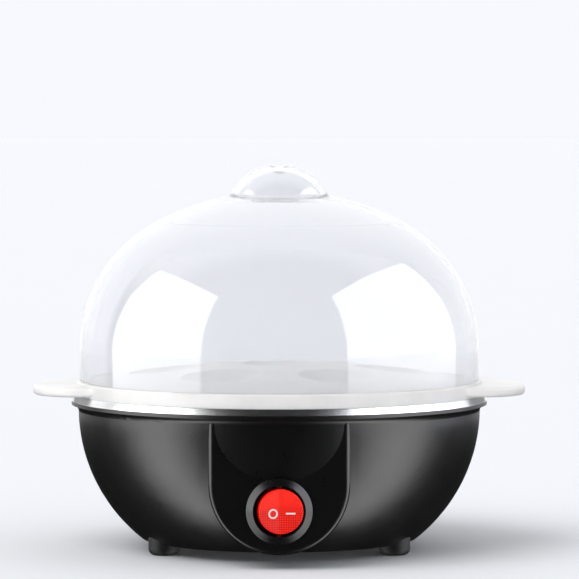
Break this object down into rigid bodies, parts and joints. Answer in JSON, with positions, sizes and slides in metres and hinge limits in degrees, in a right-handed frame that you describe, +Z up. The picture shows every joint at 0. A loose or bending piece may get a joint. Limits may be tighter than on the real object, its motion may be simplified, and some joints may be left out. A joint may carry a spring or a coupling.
{
  "type": "egg cooker",
  "caption": "Round electric egg cooker with a black base, a heated steel water pan, a lift-out egg tray, a rocker switch and a clear domed lid.",
  "frame": {"origin": "on the surface that the feet stand on, on the bowl's axis", "axes": "+Z up, -Y towards the switch, +X to the right seen from the switch side, along the tray's two ears"},
  "size_m": [0.1778, 0.15, 0.1383],
  "materials": {
    "black_plastic": "satin gloss moulded",
    "black_nylon": "satin moulded",
    "black_rubber": "matte",
    "white_plastic": "satin moulded",
    "clear_plastic": "polished clear moulding",
    "red_translucent": "gloss, translucent",
    "white_print": "printed",
    "brushed_pan": "brushed",
    "bright_steel": "plain",
    "zinc_screws": "zinc plated",
    "brass_parts": "plain",
    "aluminium_plate": "cast",
    "element_tube": "oxidised sheath",
    "silicone": "matte",
    "glass_sleeve": "woven",
    "resistor_body": "lacquered",
    "lamp_glass": "clear",
    "white_nylon": "satin moulded",
    "connector_nylon": "satin moulded",
    "thermostat_body": "phenolic",
    "white_insulation": "silicone covered",
    "brown_insulation": "satin",
    "blue_insulation": "satin",
    "earth_insulation": "satin"
  },
  "bodies": {
    "base": {"base_housing": "black_plastic", "block_screws": "zinc_screws", "clamp_screws": "brass_parts", "cord_gland": "black_rubber", "earth_blade": "brass_parts", "element_pins": "bright_steel", "foot_front_left": "black_rubber", "foot_front_right": "black_rubber", "foot_rear": "black_rubber", "fuse_clip": "bright_steel", "fuse_sleeve": "glass_sleeve", "heater_plate": "aluminium_plate", "heating_element": "element_tube", "lamp_leads": "bright_steel", "lamp_resistor": "resistor_body", "lead_earth": "earth_insulation", "lead_fuse": "white_insulation", "lead_heater": "white_insulation", "lead_lamp": "blue_insulation", "lead_live": "brown_insulation", "lead_load": "white_insulation", "lead_neutral": "blue_insulation", "neon_lamp": "lamp_glass", "pan_screws": "zinc_screws", "pan_seal": "silicone", "pan_standoffs": "bright_steel", "pin_crimps": "bright_steel", "push_on_connectors": "connector_nylon", "switch_body": "black_nylon", "switch_terminals": "brass_parts", "terminal_block": "white_nylon", "thermal_fuse": "bright_steel", "thermostat": "thermostat_body", "thermostat_blades": "brass_parts", "thermostat_screws": "zinc_screws", "water_pan": "brushed_pan"},
    "tray": {"egg_tray": "white_plastic"},
    "lid": {"lid": "clear_plastic"},
    "rocker": {"rocker": "red_translucent", "rocker_marks": "white_print", "rocker_plunger": "white_nylon", "plunger_spring": "bright_steel"},
    "seesaw": {"switch_seesaw": "brass_parts"}
  },
  "joints": [
    {"name": "tray_lift", "type": "slide", "parent": "base", "child": "tray", "axis": [0, 0, 1], "range_m": [0, 0.04]},
    {"name": "lid_lift", "type": "slide", "parent": "tray", "child": "lid", "axis": [0, 0, 1], "range_m": [0, 0.09]},
    {"name": "rocker_tilt", "type": "hinge", "parent": "base", "child": "rocker", "pos_m": [0, -0.068, 0.0205], "axis": [0, 0, 1], "range_deg": [-20, 0]},
    {"name": "seesaw_tip", "type": "hinge", "parent": "base", "child": "seesaw", "pos_m": [0, -0.0584, 0.0205], "axis": [0, 0, 1], "range_deg": [0, 16]}
  ],
  "couplings": [
    {"joint": "seesaw_tip", "follows": "rocker_tilt", "ratio": -0.8}
  ]
}
